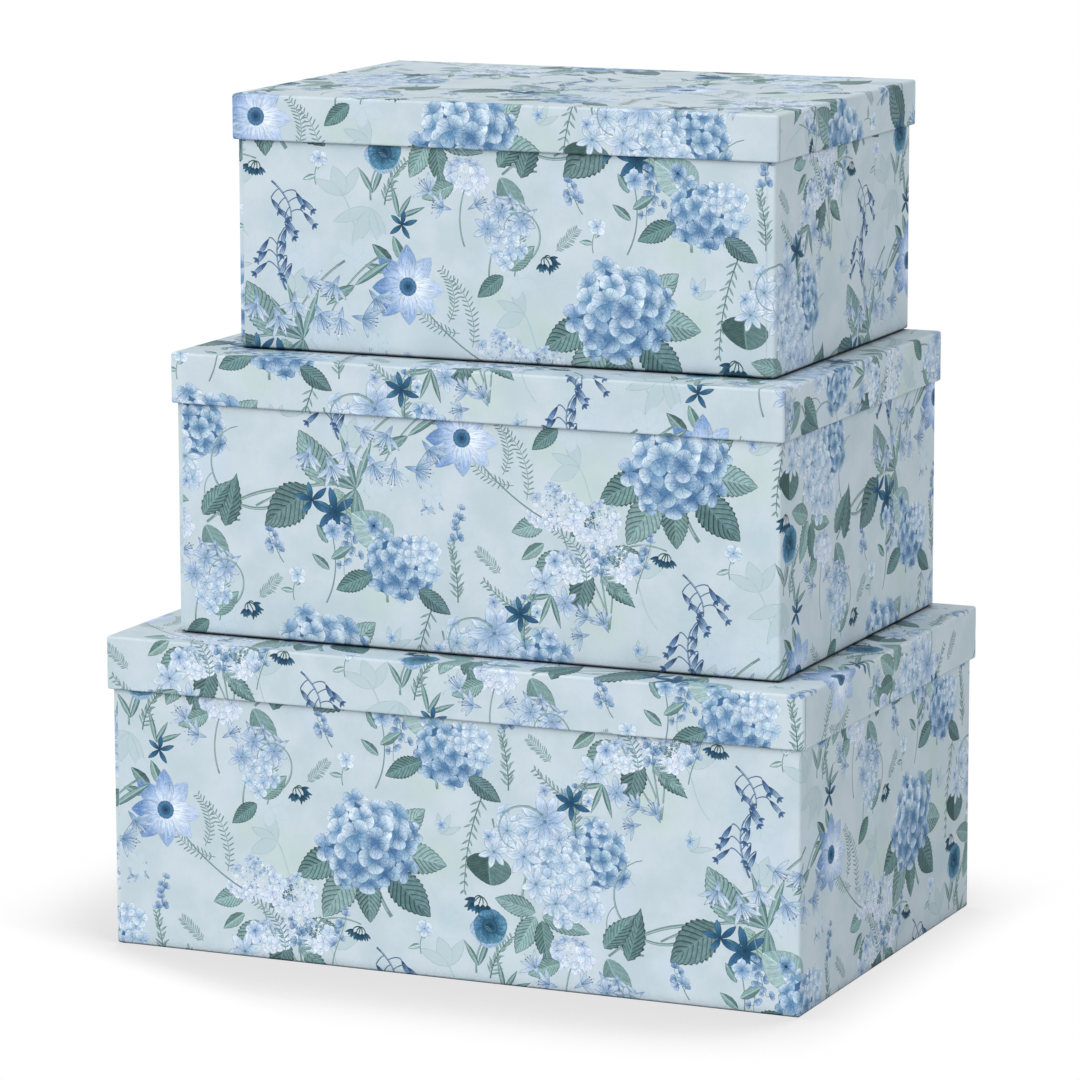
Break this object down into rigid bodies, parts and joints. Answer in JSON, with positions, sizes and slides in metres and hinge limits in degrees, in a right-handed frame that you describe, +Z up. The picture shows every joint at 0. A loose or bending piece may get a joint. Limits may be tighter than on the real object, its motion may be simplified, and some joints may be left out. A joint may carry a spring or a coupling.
{
  "type": "nesting storage box set",
  "caption": "Stack of rectangular rigid paperboard storage boxes (hat boxes) in descending sizes, each a paper-wrapped tray with a lift-off lid.",
  "frame": {"origin": "centre of the large box's base, on the ground", "axes": "+Z up through the stack; +X along the boxes' long side; -Y is the front of the stack, +Y its back"},
  "size_m": [0.4, 0.263, 0.4579],
  "materials": {
    "printed_wrap_large": null,
    "printed_wrap_medium": null,
    "printed_wrap_small": null,
    "lining_paper": "plain uncoated off-white paper",
    "greyboard": "raw recycled greyboard",
    "stay_tape": "gummed kraft paper tape"
  },
  "bodies": {
    "large_box": {"large_tray_board": "greyboard", "large_tray_wrap": "printed_wrap_large", "large_tray_base_sheet": "printed_wrap_large", "large_tray_lining": "lining_paper", "large_tray_stay_front_left": "stay_tape", "large_tray_stay_front_right": "stay_tape", "large_tray_stay_back_left": "stay_tape", "large_tray_stay_back_right": "stay_tape"},
    "large_lid": {"large_lid_board": "greyboard", "large_lid_wrap": "printed_wrap_large", "large_lid_lining": "lining_paper", "large_lid_stay_front_left": "stay_tape", "large_lid_stay_front_right": "stay_tape", "large_lid_stay_back_left": "stay_tape", "large_lid_stay_back_right": "stay_tape"},
    "medium_box": {"medium_tray_board": "greyboard", "medium_tray_wrap": "printed_wrap_medium", "medium_tray_base_sheet": "printed_wrap_medium", "medium_tray_lining": "lining_paper", "medium_tray_stay_front_left": "stay_tape", "medium_tray_stay_front_right": "stay_tape", "medium_tray_stay_back_left": "stay_tape", "medium_tray_stay_back_right": "stay_tape"},
    "medium_lid": {"medium_lid_board": "greyboard", "medium_lid_wrap": "printed_wrap_medium", "medium_lid_lining": "lining_paper", "medium_lid_stay_front_left": "stay_tape", "medium_lid_stay_front_right": "stay_tape", "medium_lid_stay_back_left": "stay_tape", "medium_lid_stay_back_right": "stay_tape"},
    "small_box": {"small_tray_board": "greyboard", "small_tray_wrap": "printed_wrap_small", "small_tray_base_sheet": "printed_wrap_small", "small_tray_lining": "lining_paper", "small_tray_stay_front_left": "stay_tape", "small_tray_stay_front_right": "stay_tape", "small_tray_stay_back_left": "stay_tape", "small_tray_stay_back_right": "stay_tape"},
    "small_lid": {"small_lid_board": "greyboard", "small_lid_wrap": "printed_wrap_small", "small_lid_lining": "lining_paper", "small_lid_stay_front_left": "stay_tape", "small_lid_stay_front_right": "stay_tape", "small_lid_stay_back_left": "stay_tape", "small_lid_stay_back_right": "stay_tape"}
  },
  "joints": [
    {"name": "large_lid_lift", "type": "slide", "parent": "large_box", "child": "large_lid", "axis": [0, 0, 1], "range_m": [0, 0.15]},
    {"name": "medium_box_lift", "type": "slide", "parent": "large_lid", "child": "medium_box", "axis": [0, 0, 1], "range_m": [0, 0.15]},
    {"name": "medium_lid_lift", "type": "slide", "parent": "medium_box", "child": "medium_lid", "axis": [0, 0, 1], "range_m": [0, 0.13]},
    {"name": "small_box_lift", "type": "slide", "parent": "medium_lid", "child": "small_box", "axis": [0, 0, 1], "range_m": [0, 0.13]},
    {"name": "small_lid_lift", "type": "slide", "parent": "small_box", "child": "small_lid", "axis": [0, 0, 1], "range_m": [0, 0.12]}
  ]
}
